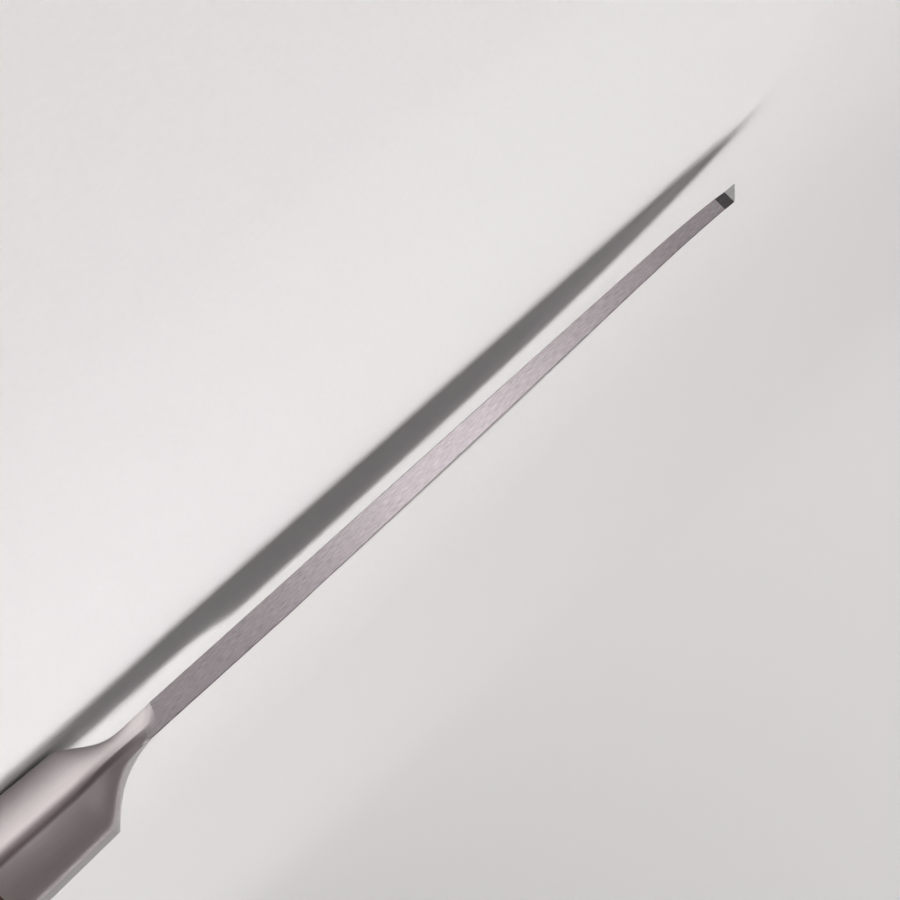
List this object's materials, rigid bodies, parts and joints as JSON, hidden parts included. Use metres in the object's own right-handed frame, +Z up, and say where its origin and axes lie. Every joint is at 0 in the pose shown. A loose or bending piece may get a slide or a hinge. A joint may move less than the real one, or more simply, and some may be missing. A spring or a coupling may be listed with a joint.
{
  "type": "boning knife",
  "caption": "Stiff boning knife with a thick spine, a right-handed grind, a clipped tip, a flared steel bolster and riveted wooden handle scales on a full tang.",
  "frame": {"origin": "on the surface that the knife lies on, below the middle of its length and depth", "axes": "+X along the knife towards the tip, +Y from the cutting edge towards the spine, +Z up out of the ground right face; the flat left face is down"},
  "size_m": [0.2764, 0.031, 0.02],
  "materials": {
    "blade_steel": "fine lengthwise satin grind on the spine and faces",
    "bolster_steel": "smooth satin, hand ground and softly polished",
    "scale_wood": "dark reddish-brown resin-filled wood, semi-gloss",
    "rivet_steel": "ground flush with the scales"
  },
  "bodies": {
    "root": {"blade": "blade_steel", "bolster_left": "bolster_steel", "bolster_right": "bolster_steel", "scale_left": "scale_wood", "scale_right": "scale_wood", "rivet_stud_front": "rivet_steel", "rivet_stud_middle": "rivet_steel", "rivet_stud_rear": "rivet_steel", "rivet_tube_front": "rivet_steel", "rivet_tube_middle": "rivet_steel", "rivet_tube_rear": "rivet_steel"}
  },
  "joints": []
}
